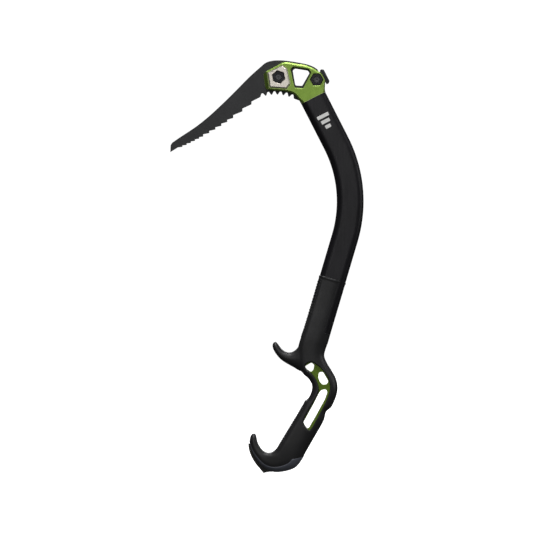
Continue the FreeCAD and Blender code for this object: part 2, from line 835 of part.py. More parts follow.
HANDLE_BACK = [(24.0, 95.5), (19.4, 84.0), (18.6, 77.0), (23.5, 65.5)]
HANDLE_BACK += [(31.5, 53.0), (35.3, 40.0), (31.9, 24.0), (26.5, 14.0)]
LOWER_BACK = [(20.5, 7.0), (3.4, -24.0), (-12.7, -51.0)]
POMMEL_BOTTOM = [(-12.7, -51.0), (-21.0, -58.0), (-31.0, -61.0), (-42.0, -61.0), (-53.0, -57.5)]
POMMEL_LEFT = [(-53.0, -57.5), (-61.5, -47.5), (-67.2, -36.5), (-69.2, -27.5)]
HANDLE_FRONT = [(-7.6, 100.5), (-11.0, 90.0), (-13.0, 76.0), (-11.5, 60.5)]
HANDLE_FRONT += [(-0.8, 51.7), (5.0, 41.5), (3.0, 31.0), (-2.5, 23.0)]
LOWER_FRONT = [(-2.5, 23.0), (-37.0, -32.5)]
UPPER_HOOK_TOP = [(-7.6, 100.5), (-12.4, 87.2), (-22.0, 81.2), (-31.5, 85.5), (-36.5, 91.5)]
UPPER_HOOK_TIP = [(-36.5, 91.5), (-39.5, 93.4), (-42.2, 90.0)]
UPPER_HOOK_LOW = [(-42.2, 90.0), (-41.5, 84.0), (-33.0, 72.8), (-17.3, 63.4), (-4.0, 54.8)]
POMMEL_INNER = [(-37.0, -32.5), (-42.0, -37.8), (-47.5, -39.5)]
POMMEL_INNER += [(-54.0, -36.6), (-60.0, -28.5), (-61.8, -18.8)]
POMMEL_TIP = [(-61.8, -18.8), (-64.8, -16.6), (-68.2, -20.0)]
OPENING_BACK = [(4.5, 70.2), (19.4, 57.5), (26.6, 40.3), (19.4, 18.5), (2.0, -13.5)]
OPENING_FRONT = [(-7.6, -2.6), (10.0, 28.6), (13.5, 40.0), (5.3, 56.1), (-5.2, 64.5)]
FRAME_BACK = [(12.0, 78.0), (16.0, 68.0), (24.0, 57.0), (29.4, 40.3)]
FRAME_BACK += [(22.4, 17.5), (0.5, -19.5), (-20.0, -50.0)]
FRAME_FRONT = [(-33.0, -42.0), (-11.0, -5.0), (7.5, 29.0), (11.0, 39.5)]
FRAME_FRONT += [(2.5, 54.0), (-9.0, 66.0), (-6.0, 80.0)]
WINDOWS = [
    [(-4.2, 64.4), (4.2, 69.4), (7.6, 66.0), (6.8, 60.6), (4.0, 57.6), (-1.2, 61.0)],
    [(12.8, 57.4), (17.6, 58.2), (21.0, 52.4), (24.6, 46.0), (22.4, 43.0), (17.6, 42.4)]
    + [(14.4, 45.6), (12.4, 51.0)],
    [(16.3, 36.4), (21.4, 37.2), (23.3, 33.2), (20.3, 24.6), (9.1, 4.2), (-0.6, -12.5)]
    + [(-5.6, -2.5), (6.8, 20.0), (13.6, 33.4)],
]


def core_outline():
    top_back = across_foot(0, grip_half())
    top_front = across_foot(0, -grip_half())
    edges = curve([top_back] + HANDLE_BACK)
    edges += chain([HANDLE_BACK[-1]] + LOWER_BACK)
    edges += curve(POMMEL_BOTTOM)
    edges += chain([POMMEL_BOTTOM[-1], POMMEL_INNER[1], LOWER_FRONT[-1], LOWER_FRONT[0]])
    edges += curve(list(reversed(HANDLE_FRONT)) + [top_front])
    edges += chain([top_front, top_back])
    return edges


def upper_hook_outline():
    root = (6.0, 78.0)
    edges = curve(UPPER_HOOK_TOP) + bow(*UPPER_HOOK_TIP) + curve(UPPER_HOOK_LOW)
    return edges + chain([UPPER_HOOK_LOW[-1], root, UPPER_HOOK_TOP[0]])


def pommel_hook_outline():
    edges = curve(POMMEL_INNER) + bow(*POMMEL_TIP)
    edges += chain([POMMEL_TIP[-1], POMMEL_LEFT[-1]])
    edges += curve(list(reversed(POMMEL_LEFT)))
    root = (-30.0, -50.0)
    return edges + chain([POMMEL_LEFT[0], root, POMMEL_INNER[0]])


def opening_outline():
    edges = curve(OPENING_BACK) + curve(OPENING_FRONT)
    edges += chain([OPENING_BACK[-1], OPENING_FRONT[0]])
    return edges + chain([OPENING_FRONT[-1], OPENING_BACK[0]])


def frame_outline():
    half = size.frame_depth
    top_back = across_foot(0, half)
    top_front = across_foot(0, -half)
    edges = curve([top_back] + FRAME_BACK) + chain([FRAME_BACK[-1], FRAME_FRONT[0]])
    edges += curve(FRAME_FRONT + [top_front])
    return edges + chain([top_front, top_back])


SPIKE_RIVETS = [(-14.5, -28.5), (-21.5, -39.5)]
SPIKE_EDGE = [(-71.6, -27.6), (-70.9, -35.0), (-68.0, -43.5), (-62.4, -52.9), (-53.4, -63.5)]
SPIKE_BOTTOM = [(-53.4, -63.5), (-45.0, -62.0), (-33.5, -61.9), (-23.0, -59.8)]
SPIKE_INSIDE = [(-19.0, -50.0), (-8.5, -24.0), (-14.0, -20.0), (-31.0, -42.0)]
SPIKE_INSIDE += [(-44.0, -49.0), (-56.0, -45.5), (-66.0, -31.0)]


def spike():
    body = new_body("spike")
    edges = curve(SPIKE_EDGE[:-1]) + chain(SPIKE_EDGE[-2:]) + curve(SPIKE_BOTTOM)
    edges += chain([SPIKE_BOTTOM[-1]] + SPIKE_INSIDE + [SPIKE_EDGE[0]])
    grow(body, new_sketch(body, "outline", edges), "Sizes.spike_plate")
    add_rivet_holes(body)
    return body


def add_rivet_holes(body):
    sketch = new_sketch(body, "rivet_holes", [])
    for place in SPIKE_RIVETS:
        add_circle(sketch, place, size.spike_rivet / 2, "Sizes.spike_rivet / 2")
    carve(body, sketch)


def spike_rivets():
    rivets = []
    for i, (x, z) in enumerate(SPIKE_RIVETS):
        rivet = doc.addObject("Part::Cylinder", f"spike_rivet_{i}")
        rivet.setExpression("Radius", "Sizes.spike_rivet / 2")
        rivet.setExpression("Height", "Sizes.frame_depth")
        rivet.Placement = Placement(Vector(x, -size.frame_depth / 2, z), Rotation(Vector(1, 0, 0), -90))
        rivets.append(rivet)
    return group("spike_rivets", rivets)


def handle_frame(spike_body):
    body = new_body("frame_forging")
    grow(body, new_sketch(body, "outline", frame_outline()), "Sizes.frame_depth")
    for i, window in enumerate(WINDOWS):
        carve(body, new_sketch(body, f"window_{i}", rounded(window, 2.5)))
    tang_place = Placement(Vector(size.foot_x, 0, size.foot_z), Rotation(Y_AXIS, size.lower_lean))
    section = shaft_section(size.shaft_wall + size.tang_gap)
    tang = new_sketch(body, "tang", section, role="XY_Plane", place=tang_place)
    grow(body, tang, "Sizes.tang_length", symmetric=False)
    add_pin_holes(body, [across_foot(height, 0) for height in pin_heights()])
    add_rivet_holes(body)
    return cut_out("handle_frame", body, [spike_body])


def hatch_corners(margin, inner):
    """The strip along the straight front of the lower grip."""
    x0, z0 = LOWER_FRONT[0]
    x1, z1 = LOWER_FRONT[1]
    length = hypot(x1 - x0, z1 - z0)
    ux, uz = (x1 - x0) / length, (z1 - z0) / length
    nx, nz = -uz, ux

    def at(along, deep):
        return (x0 + ux * along + nx * deep, z0 + uz * along + nz * deep)

    far = length - margin
    return [at(margin, inner), at(far, inner), at(far, size.hatch_back), at(margin, size.hatch_back)]


def lower_grip_ribs():
    body = new_body("lower_grip_ribs")
    margin = size.rib_margin
    grow(body, new_sketch(body, "strip", polygon(hatch_corners(margin, 0))), "Sizes.handle_depth")
    core = new_sketch(body, "core", polygon(hatch_corners(margin, size.hatch_skin)))
    carve(body, core, "Sizes.handle_depth - 2 * Sizes.hatch_skin")
    return body


GUARD_TOP = [(-12.7, -51.0), (-24.0, -51.5), (-36.0, -52.5), (-48.0, -49.5), (-53.0, -47.0)]


def pommel_guard():
    """A smooth rim round the bottom of the pommel, a thin skin on both sides and below."""
    body = new_body("guard_rim")
    edges = curve(POMMEL_BOTTOM) + curve(list(reversed(GUARD_TOP)))
    edges += chain([POMMEL_BOTTOM[-1], GUARD_TOP[-1]])
    grow(body, new_sketch(body, "rim", edges), "Sizes.handle_depth")
    inner_bottom = [(x, z + size.guard_skin) for x, z in POMMEL_BOTTOM]
    lid = [(-8.0, -40.0), (-60.0, -40.0)]
    core = curve(inner_bottom) + chain([inner_bottom[-1], lid[1], lid[0], inner_bottom[0]])
    carve(body, new_sketch(body, "core", core), "Sizes.handle_depth - 2 * Sizes.guard_skin")
    return body


def handle_overmould(insides):
    body = new_body("overmould_block")
    grow(body, new_sketch(body, "core", core_outline()), "Sizes.handle_depth")
    grow(body, new_sketch(body, "upper_hook", upper_hook_outline()), "Sizes.upper_hook_depth")
    grow(body, new_sketch(body, "pommel_hook", pommel_hook_outline()), "Sizes.pommel_hook_depth")
    carve(body, new_sketch(body, "opening", opening_outline()))
    return cut_out("handle_overmould", body, insides)


# ---------------------------------------------------------------- the whole axe

def build():
    ribs = shaft_grip_ribs()
    spike_body = spike()
    rivets = spike_rivets()
    frame = handle_frame(spike_body)
    guard = pommel_guard()
    guard_node = cut_out("pommel_guard", guard, [spike_body])
    hatch = lower_grip_ribs()
    overmould = handle_overmould([frame, spike_body, rivets, guard, hatch])
    return [
        shaft_tube(), tang_pins(), shaft_grip(ribs), ribs,
        pick(), head(), pick_weight("near_pick_weight", -1), pick_weight("far_pick_weight", 1),
        pick_nuts(), micro_hammer(),
        socket_bolt("front_bolt", FRONT_BOLT), washer("front_washer", FRONT_BOLT),
        socket_bolt("rear_bolt", REAR_BOLT), washer("rear_washer", REAR_BOLT),
        frame, overmould, hatch, guard_node, spike_body, rivets,
    ]


def check(nodes):
    for item in doc.Objects:
        if "Invalid" in item.State or "Error" in item.State:
            raise RuntimeError(f"{item.Name} is {item.State}")
    for node in nodes:
        if node.Shape.isNull() or not node.Shape.isValid():
            raise RuntimeError(f"{node.Label} has no valid shape")


def export(nodes):
    os.makedirs("parts", exist_ok=True)
    for node in nodes:
        node.Shape.exportStep(f"parts/{node.Label}.step")
        box = node.Shape.BoundBox
        print(
            f"{node.Label:20s} solids {len(node.Shape.Solids)} volume {node.Shape.Volume:9.1f}"
            f"  x {box.XMin:7.1f} {box.XMax:7.1f}  y {box.YMin:6.1f} {box.YMax:6.1f}"
            f"  z {box.ZMin:7.1f} {box.ZMax:7.1f}"
        )


nodes = build()
doc.recompute()
check(nodes)
export(nodes)
for bolt in (FRONT_BOLT, REAR_BOLT):
    print("bolt axis", HEAD.multVec(Vector(bolt[0], 0, bolt[1])))
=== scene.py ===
import math

import bmesh
import bpy
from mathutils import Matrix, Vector


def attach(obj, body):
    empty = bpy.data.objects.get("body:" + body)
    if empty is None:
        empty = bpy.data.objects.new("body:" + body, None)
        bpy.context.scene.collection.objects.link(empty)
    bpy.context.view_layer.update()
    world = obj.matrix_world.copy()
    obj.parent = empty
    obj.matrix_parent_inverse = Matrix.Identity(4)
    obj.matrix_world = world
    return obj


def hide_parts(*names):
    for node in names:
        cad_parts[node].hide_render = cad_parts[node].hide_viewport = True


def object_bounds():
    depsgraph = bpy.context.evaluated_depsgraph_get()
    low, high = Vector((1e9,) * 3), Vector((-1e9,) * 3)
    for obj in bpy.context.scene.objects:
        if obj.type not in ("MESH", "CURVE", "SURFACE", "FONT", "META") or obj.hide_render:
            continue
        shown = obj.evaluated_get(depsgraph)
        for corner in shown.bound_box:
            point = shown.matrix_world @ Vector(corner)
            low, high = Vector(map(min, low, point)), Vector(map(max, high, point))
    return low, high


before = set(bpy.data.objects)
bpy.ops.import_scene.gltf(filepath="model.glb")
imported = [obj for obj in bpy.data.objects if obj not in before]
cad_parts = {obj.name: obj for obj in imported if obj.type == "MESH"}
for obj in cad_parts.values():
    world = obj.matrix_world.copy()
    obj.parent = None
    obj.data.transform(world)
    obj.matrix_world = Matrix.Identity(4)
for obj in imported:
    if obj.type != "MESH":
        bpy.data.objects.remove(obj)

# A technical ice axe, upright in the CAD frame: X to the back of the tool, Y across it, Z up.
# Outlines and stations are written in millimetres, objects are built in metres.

MM = 0.001
CAD_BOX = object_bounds()

# ---------------------------------------------------------------- places on the axe

LOWER_LEAN = math.radians(16.5)          # the lower shaft leans to the back
UPPER_LEAN = math.radians(27.0)          # the upper shaft leans to the front
SHAFT_HALF_DEPTH = 11.5
LOWER_AXIS = Vector((math.sin(LOWER_LEAN), 0, math.cos(LOWER_LEAN)))
UPPER_AXIS = Vector((-math.sin(UPPER_LEAN), 0, math.cos(UPPER_LEAN)))
UPPER_SIDE = Vector((math.cos(UPPER_LEAN), 0, math.sin(UPPER_LEAN)))


# ---------------------------------------------------------------- small tools

def lerp(a, b, share):
    return a + (b - a) * share


def catmull(rows, place):
    """A smooth row of numbers between rows: place 2.5 is half way from row 2 to row 3."""
    last = len(rows) - 1
    index = min(int(place), last - 1)
    t = place - index
    before = rows[max(index - 1, 0)]
    start, end = rows[index], rows[index + 1]
    after = rows[min(index + 2, last)]
    values = []
    for p0, p1, p2, p3 in zip(before, start, end, after):
        a = 2 * p1
        b = p2 - p0
        c = 2 * p0 - 5 * p1 + 4 * p2 - p3
        d = 3 * p1 - p0 - 3 * p2 + p3
        values.append((a + b * t + c * t * t + d * t * t * t) / 2)
    return values


def mesh_object(name, bm, smooth=True):
    mesh = bpy.data.meshes.new(name)
    bmesh.ops.recalc_face_normals(bm, faces=bm.faces)
    bm.to_mesh(mesh)
    bm.free()
    for polygon in mesh.polygons:
        polygon.use_smooth = smooth
    piece = bpy.data.objects.new(name, mesh)
    bpy.context.collection.objects.link(piece)
    return piece


def apply_modifiers(piece):
    """Bake a piece's modifiers into its mesh."""
    graph = bpy.context.evaluated_depsgraph_get()
    baked = bpy.data.meshes.new_from_object(piece.evaluated_get(graph))
    old = piece.data
    piece.modifiers.clear()
    piece.data = baked
    bpy.data.meshes.remove(old)
    for polygon in piece.data.polygons:
        polygon.use_smooth = True


def remesh(piece, voxel):
    modifier = piece.modifiers.new("remesh", "REMESH")
    modifier.mode = "VOXEL"
    modifier.voxel_size = voxel * MM
    apply_modifiers(piece)


def relax(piece, rounds, factor=0.5):
    modifier = piece.modifiers.new("smooth", "SMOOTH")
    modifier.iterations = rounds
    modifier.factor = factor
    apply_modifiers(piece)


def add_rings(bm, rings):
    """A closed skin over rings that all have the same number of points."""
    rows = [[bm.verts.new(p * MM) for p in ring] for ring in rings]
    count = len(rows[0])
    for low, high in zip(rows, rows[1:]):
        for i in range(count):
            j = (i + 1) % count
            bm.faces.new((low[i], low[j], high[j], high[i]))
    bm.faces.new(rows[0])
    bm.faces.new(list(reversed(rows[-1])))


# ---------------------------------------------------------------- handle

# One cross-section of the handle each: front x, z, back x, z, half depth, squareness.
# From the top of the sleeve, down the grip and round the pommel hook.
BODY = [
    (13.9, 173.7, 45.1, 164.4, 12.5, 1.0),
    (4.7, 142.3, 35.8, 133.1, 12.5, 1.0),
    (-4.5, 111.6, 26.7, 102.4, 12.6, 1.0),
    (-8.3, 99.7, 23.9, 92.8, 12.7, 1.0),
    (-11.2, 90.1, 21.2, 85.3, 12.6, 0.9),
    (-12.0, 79.1, 19.5, 77.0, 12.4, 0.8),
    (-11.0, 65.7, 22.8, 68.3, 12.3, 0.8),
    (-6.1, 55.8, 28.4, 59.4, 12.5, 0.8),
    (0.4, 49.8, 33.0, 51.2, 12.6, 0.8),
    (4.4, 43.2, 35.3, 42.5, 12.7, 0.85),
    (4.8, 37.1, 35.2, 34.4, 12.7, 0.85),
    (2.6, 29.9, 33.0, 26.3, 12.8, 0.85),
    (-0.6, 25.2, 28.6, 16.6, 12.7, 0.9),
    (-3.7, 23.1, 25.4, 13.4, 12.6, 0.9),
    (-5.9, 18.9, 21.4, 9.4, 12.6, 0.95),
    (-12.3, 7.6, 18.6, -1.0, 12.5, 1.0),
    (-23.6, -10.9, 8.6, -18.8, 12.5, 1.0),
    (-32.2, -25.2, -1.6, -36.6, 12.4, 1.0),
    (-37.0, -33.0, -9.0, -49.4, 12.1, 1.0),
    (-39.7, -36.2, -16.2, -57.0, 11.8, 1.0),
    (-43.2, -38.5, -27.6, -61.0, 11.4, 1.0),
    (-46.8, -39.1, -40.2, -61.9, 10.7, 1.0),
    (-50.3, -38.6, -50.9, -58.3, 9.9, 0.9),
    (-54.1, -36.2, -59.1, -51.0, 9.1, 0.8),
    (-57.6, -32.1, -65.2, -41.8, 8.3, 0.6),
    (-60.2, -27.0, -68.7, -32.6, 7.4, 0.4),
    (-61.4, -22.0, -70.0, -25.3, 6.4, 0.2),
    (-62.0, -18.7, -69.4, -20.3, 5.2, 0.1),
    (-63.4, -15.9, -67.2, -16.4, 2.8, 0.0),
]
# The upper hook, from inside the handle out to its tip: its top and its underside.
HOOK = [
    (4.0, 92.0, 4.0, 60.0, 10.5, 0.6),
    (-8.6, 91.0, -8.6, 58.6, 10.3, 0.6),
    (-13.4, 85.6, -16.0, 62.6, 9.4, 0.5),
    (-18.2, 82.2, -22.2, 66.0, 8.6, 0.4),
    (-23.4, 81.3, -28.4, 69.6, 7.9, 0.3),
    (-28.0, 82.8, -33.8, 73.8, 7.2, 0.2),
    (-31.8, 85.8, -38.2, 79.0, 6.5, 0.1),
    (-34.6, 89.4, -41.3, 84.2, 5.9, 0.0),
    (-36.8, 92.4, -42.7, 88.6, 4.7, 0.0),
    (-38.7, 94.3, -42.1, 92.4, 2.4, 0.0),
]
RING_POINTS = 56
# Half of a grip's section: 0 is the middle, u = -1 the front, u = 1 the back, v the side.
SECTION = [
    (-1.0, 0.0), (-1.0, 0.50), (-0.86, 0.92), (-0.62, 1.0),
    (0.44, 1.0), (0.92, 0.62), (1.0, 0.34), (1.0, 0.0),
]


def softened(points, rounds=3):
    """Cut a closed polygon's corners until they are round."""
    for _ in range(rounds):
        cut = []
        for a, b in zip(points, points[1:] + points[:1]):
            cut.append((lerp(a[0], b[0], 0.25), lerp(a[1], b[1], 0.25)))
            cut.append((lerp(a[0], b[0], 0.75), lerp(a[1], b[1], 0.75)))
        points = cut
    return points


def reach_table(count=360):
    """How far the grip's section reaches in each direction from its middle."""
    closed = softened(SECTION + [(u, -v) for u, v in reversed(SECTION[1:-1])])
    table = []
    for step in range(count):
        angle = 2 * math.pi * step / count
        du, dv = math.cos(angle), math.sin(angle)
        best = 0.0
        for (ax, ay), (bx, by) in zip(closed, closed[1:] + closed[:1]):
            ex, ey = bx - ax, by - ay
            cross = du * ey - dv * ex
            if abs(cross) < 1e-9:
                continue
            along = (ax * ey - ay * ex) / cross
            share = (ax * dv - ay * du) / cross
            if along > 0 and -1e-6 <= share <= 1 + 1e-6:
                best = max(best, along)
        table.append(best)
    return table


REACH = reach_table()


def section_reach(angle):
    place = (angle / (2 * math.pi) % 1.0) * len(REACH)
    low = int(place) % len(REACH)
    return lerp(REACH[low], REACH[(low + 1) % len(REACH)], place - int(place))


def skin_point(rows, place, angle, lift=0.0):
    """A point on the handle's skin: angle 0 is the back, pi the front, pi/2 the far side."""
    fx, fz, bx, bz, depth, square = catmull(rows, place)
    front, back = Vector((fx, 0, fz)), Vector((bx, 0, bz))
    middle, half = (front + back) / 2, (back - front) / 2
    reach = lerp(1.0, section_reach(angle), square)
    u, v = math.cos(angle) * reach, math.sin(angle) * reach
    grown = 1 + lift / half.length
    return middle + half * (u * grown) + Vector((0, v * (depth + lift), 0))


def skin_rings(rows, steps):
    last = len(rows) - 1
    rings = []
    for i in range(steps + 1):
        place = last * i / steps
        angles = [2 * math.pi * k / RING_POINTS for k in range(RING_POINTS)]
        rings.append([skin_point(rows, place, a) for a in angles])
    return rings


# The opening in the moulding that shows the frame: x and z down its back edge, then up its front.
OPENING_BACK = [
    (4.5, 70.2), (13.0, 64.6), (19.8, 57.6), (24.8, 49.4), (26.6, 40.3), (24.8, 31.0),
    (19.4, 18.5), (10.6, 2.0), (2.4, -12.9),
]
OPENING_FRONT = [
    (-1.6, -9.6), (-6.9, -1.9), (2.1, 14.0), (10.2, 28.5), (12.8, 34.2), (13.1, 40.6),
    (9.4, 49.9), (3.8, 57.3), (-4.7, 63.3), (-2.0, 68.2),
]


def opening_cutter():
    """The window in the handle, wider at its mouths so that the edges come out rounded."""
    outline = softened(OPENING_BACK + OPENING_FRONT, rounds=2)
    rings = []
    for level, grow in ((-16.0, 1.4), (-11.6, 0.5), (-9.5, 0.0), (9.5, 0.0), (11.6, 0.5), (16.0, 1.4)):
        ring = []
        count = len(outline)
        for i, (x, z) in enumerate(outline):
            ahead, behind = outline[(i + 1) % count], outline[i - 1]
            edge = Vector((ahead[0] - behind[0], 0, ahead[1] - behind[1])).normalized()
            out = Vector((-edge.z, 0, edge.x))
            if signed_area(outline) > 0:
                out = -out
            ring.append(Vector((x, level, z)) + out * grow)
        rings.append(ring)
    bm = bmesh.new()
    add_rings(bm, rings)
    return mesh_object("opening_cutter", bm)


def signed_area(points):
    return sum(a[0] * b[1] - b[0] * a[1] for a, b in zip(points, points[1:] + points[:1])) / 2


def lip_rings():
    """The moulded lip round the top of the sleeve."""
    rings = []
    for along, lift in ((-2.6, -0.4), (-1.6, 0.55), (-0.2, 0.75), (0.35, 0.35), (0.4, -1.0)):
        ring = []
        for k in range(RING_POINTS):
            point = skin_point(BODY, 0.0, 2 * math.pi * k / RING_POINTS, lift)
            ring.append(point + LOWER_AXIS * along)
        rings.append(ring)
    return rings


def make_handle():
    """The moulded handle and sleeve: two lofts grown together, then the window cut out."""
    bm = bmesh.new()
    add_rings(bm, skin_rings(BODY, 150))
    add_rings(bm, skin_rings(HOOK, 60))
    add_rings(bm, lip_rings())
    handle = mesh_object("handle_moulding", bm)
    remesh(handle, 0.9)
    relax(handle, 2)
    cutter = opening_cutter()
    cut = handle.modifiers.new("window", "BOOLEAN")
    cut.operation = "DIFFERENCE"
    cut.solver = "EXACT"
    cut.object = cutter
    apply_modifiers(handle)
    bpy.data.objects.remove(cutter)
    remesh(handle, 0.75)
    relax(handle, 2)
    return handle


# ---------------------------------------------------------------- ribs and rim on the handle

def add_bar(bm, path, normals, width, height, sink=0.5):
    """A low rounded bar along a path on the skin."""
    crown = [(-0.5, 0.25), (-0.28, 0.85), (0.0, 1.0), (0.28, 0.85), (0.5, 0.25)]
    profile = [(-0.5, -sink), *crown, (0.5, -sink)]
    rings = []
    last = len(path) - 1
    for i, (point, normal) in enumerate(zip(path, normals)):
        along = (path[min(i + 1, last)] - path[max(i - 1, 0)]).normalized()
        side = along.cross(normal).normalized()
        taper = math.sin(math.pi * min(i + 0.6, last - i + 0.6, last / 4) / (last / 2)) if last > 2 else 1
        taper = 0.35 + 0.65 * min(taper, 1)
        rings.append([point + side * (u * width * taper) + normal * (v * height * taper) for u, v in profile])
    add_rings(bm, rings)


def skin_normal(rows, place, angle):
    here = skin_point(rows, place, angle)
    along = skin_point(rows, place + 0.01, angle) - skin_point(rows, place - 0.01, angle)
    around = skin_point(rows, place, angle + 0.02) - skin_point(rows, place, angle - 0.02)
    normal = along.cross(around).normalized()
    fx, fz, bx, bz = catmull(rows, place)[:4]
    middle = Vector(((fx + bx) / 2, 0, (fz + bz) / 2))
    return normal if normal.dot(here - middle) > 0 else -normal


def wrap_bar(bm, rows, place, spread, width, height, shift, steps=14):
    """A bar that wraps the front of the grip, from the near side round to the far side.

    shift(share) moves it along the grip, share running from -1 on the near side to 1.
    """
    path = []
    normals = []
    for i in range(steps + 1):
        share = 2 * i / steps - 1
        angle = math.pi + spread * share
        here = place + shift(share)
        path.append(skin_point(rows, here, angle))
        normals.append(skin_normal(rows, here, angle))
    add_bar(bm, path, normals, width, height)


def make_upper_ribs():
    """Ribs on the front of the sleeve: nested curls above, short bars below."""
    bm = bmesh.new()
    for i in range(13):
        place = 0.32 + 0.098 * i
        bow = 0.14 * (1 - i / 14)
        wrap_bar(bm, BODY, place, 0.86, 1.15, 0.42, lambda share, b=bow: -b * abs(share) ** 2.2)
    for i in range(13):
        place = 1.62 + 0.112 * i
        wrap_bar(bm, BODY, place, 0.80, 1.25, 0.42, lambda share: 0.02 * abs(share))
    return mesh_object("front_ribs", bm)


def make_lower_ribs():
    """A diagonal hatch along the front of the lower grip."""
    bm = bmesh.new()
    for i in range(22):
        place = 14.25 + 0.155 * i
        wrap_bar(bm, BODY, place, 0.84, 1.05, 0.38, lambda share: 0.16 * abs(share), steps=12)
    return mesh_object("lower_ribs", bm)


def make_pommel_rim():
    """The smooth rim round the bottom of the pommel, from the back round to the hook."""
    first, last = 17.4, 26.2
    steps, across = 60, 22
    bm = bmesh.new()
    layers = []
    for lift in (0.32, -1.0):
        rows = []
        for i in range(steps + 1):
            share = i / steps
            place = lerp(first, last, share)
            ease = min(1.0, share / 0.10, (1 - share) / 0.30)
            width = lerp(0.05, lerp(1.24, 0.95, share), math.sqrt(max(ease, 0.0)))
            row = []
            for k in range(across + 1):
                angle = width * (2 * k / across - 1)
                near_edge = min(1.0, 4.0 * (1 - abs(2 * k / across - 1)))
                height = lift * near_edge if lift > 0 else lift
                row.append(bm.verts.new(skin_point(BODY, place, angle, height) * MM))
            rows.append(row)
        layers.append(rows)
    outer, inner = layers
    for i in range(steps):
        for k in range(across):
            bm.faces.new((outer[i][k], outer[i][k + 1], outer[i + 1][k + 1], outer[i + 1][k]))
            bm.faces.new((inner[i][k], inner[i + 1][k], inner[i + 1][k + 1], inner[i][k + 1]))
    for i in range(steps):
        for k in (0, across):
            bm.faces.new((outer[i][k], outer[i + 1][k], inner[i + 1][k], inner[i][k]))
    for k in range(across):
        for i in (0, steps):
            bm.faces.new((outer[i][k], outer[i][k + 1], inner[i][k + 1], inner[i][k]))
    return mesh_object("pommel_rim", bm)


# ---------------------------------------------------------------- mark on the shaft

MARK_CENTRE = Vector((21.5, 0, 356.6))
MARK_BARS = [(-8.4, 15.0), (-1.6, 11.0), (5.2, 7.0)]     # how far down the shaft, and how long


def make_mark():
    """A plain printed mark: three bars across the near face, each shorter than the last."""
    bm = bmesh.new()
    thick = 0.12
    for down, length in MARK_BARS:
        middle = MARK_CENTRE - UPPER_AXIS * down
        middle.y = -SHAFT_HALF_DEPTH
        half_long, half_tall, corner = length / 2, 2.1, 0.6
        outline = []
        for sx, sz in ((-1, -1), (1, -1), (1, 1), (-1, 1)):
            start = math.atan2(sz, sx) - math.pi / 4
            for k in range(5):
                angle = start + math.pi / 2 * k / 4
                u = sx * (half_long - corner) + corner * math.cos(angle)
                w = sz * (half_tall - corner) + corner * math.sin(angle)
                outline.append(middle + UPPER_SIDE * u + UPPER_AXIS * w)
        rings = [[p + Vector((0, level, 0)) for p in outline] for level in (0.1, -thick)]
        add_rings(bm, rings)
    return mesh_object("shaft_mark", bm, smooth=False)


# ---------------------------------------------------------------- materials

class Shader:
    """A node material with the few moves that this scene's finishes share."""

    def __init__(self, name, colour, metallic=0.0, roughness=0.5, **sockets):
        self.material = bpy.data.materials.new(name)
        self.material.use_nodes = True
        self.tree = self.material.node_tree
        self.principled = next(n for n in self.tree.nodes if n.type == "BSDF_PRINCIPLED")
        self.principled.inputs["Base Color"].default_value = (*colour, 1)
        self.principled.inputs["Metallic"].default_value = metallic
        self.principled.inputs["Roughness"].default_value = roughness
        for socket, value in sockets.items():
            self.principled.inputs[socket.replace("_", " ")].default_value = value
        self.coordinates = self.tree.nodes.new("ShaderNodeTexCoord").outputs["Object"]

    def node(self, kind, links=(), **values):
        made = self.tree.nodes.new(f"ShaderNode{kind}")
        for key, value in values.items():
            setattr(made, key, value)
        for socket, source in dict(links).items():
            if hasattr(source, "links"):
                self.tree.links.new(source, made.inputs[socket])
            else:
                made.inputs[socket].default_value = source
        return made

    def noise(self, scale, detail=3.0, stretch=None, turn=0.0, rough=0.55):
        """Noise in object space; a stretch draws it out along an axis, turned about Y."""
        source = self.coordinates
        if stretch:
            links = {"Vector": source, "Scale": stretch, "Rotation": (0, turn, 0)}
            source = self.node("Mapping", links).outputs["Vector"]
        links = {"Vector": source, "Scale": scale, "Detail": detail, "Roughness": rough}
        return self.node("TexNoise", links).outputs["Fac"]

    def spread(self, source, low, high, to_low=0.0, to_high=1.0):
        links = {"Value": source, "From Min": low, "From Max": high, "To Min": to_low, "To Max": to_high}
        return self.node("MapRange", links).outputs["Result"]

    def mixed(self, share, first, second):
        mix = self.node("Mix", data_type="RGBA")
        for index, value in ((0, share), (6, first), (7, second)):
            if hasattr(value, "links"):
                self.tree.links.new(value, mix.inputs[index])
            elif index == 0:
                mix.inputs[index].default_value = value
            else:
                mix.inputs[index].default_value = (*value, 1)
        return mix.outputs[2]

    def maths(self, operation, first, second):
        return self.node("Math", {0: first, 1: second}, operation=operation).outputs[0]

    def edges(self, radius, low=0.02, high=0.25):
        """1 along sharp edges, 0 on flat faces."""
        bevel = self.node("Bevel", {"Radius": radius * MM}, samples=6)
        geometry = self.node("NewGeometry")
        links = {0: bevel.outputs["Normal"], 1: geometry.outputs["Normal"]}
        dot = self.node("VectorMath", links, operation="DOT_PRODUCT").outputs["Value"]
        return self.spread(self.maths("SUBTRACT", 1.0, dot), low, high)

    def colour(self, source):
        self.tree.links.new(source, self.principled.inputs["Base Color"])

    def roughness(self, source):
        self.tree.links.new(source, self.principled.inputs["Roughness"])

    def bump(self, height, strength, distance):
        links = {"Height": height, "Strength": strength, "Distance": distance * MM}
        made = self.node("Bump", links)
        self.tree.links.new(made.outputs["Normal"], self.principled.inputs["Normal"])


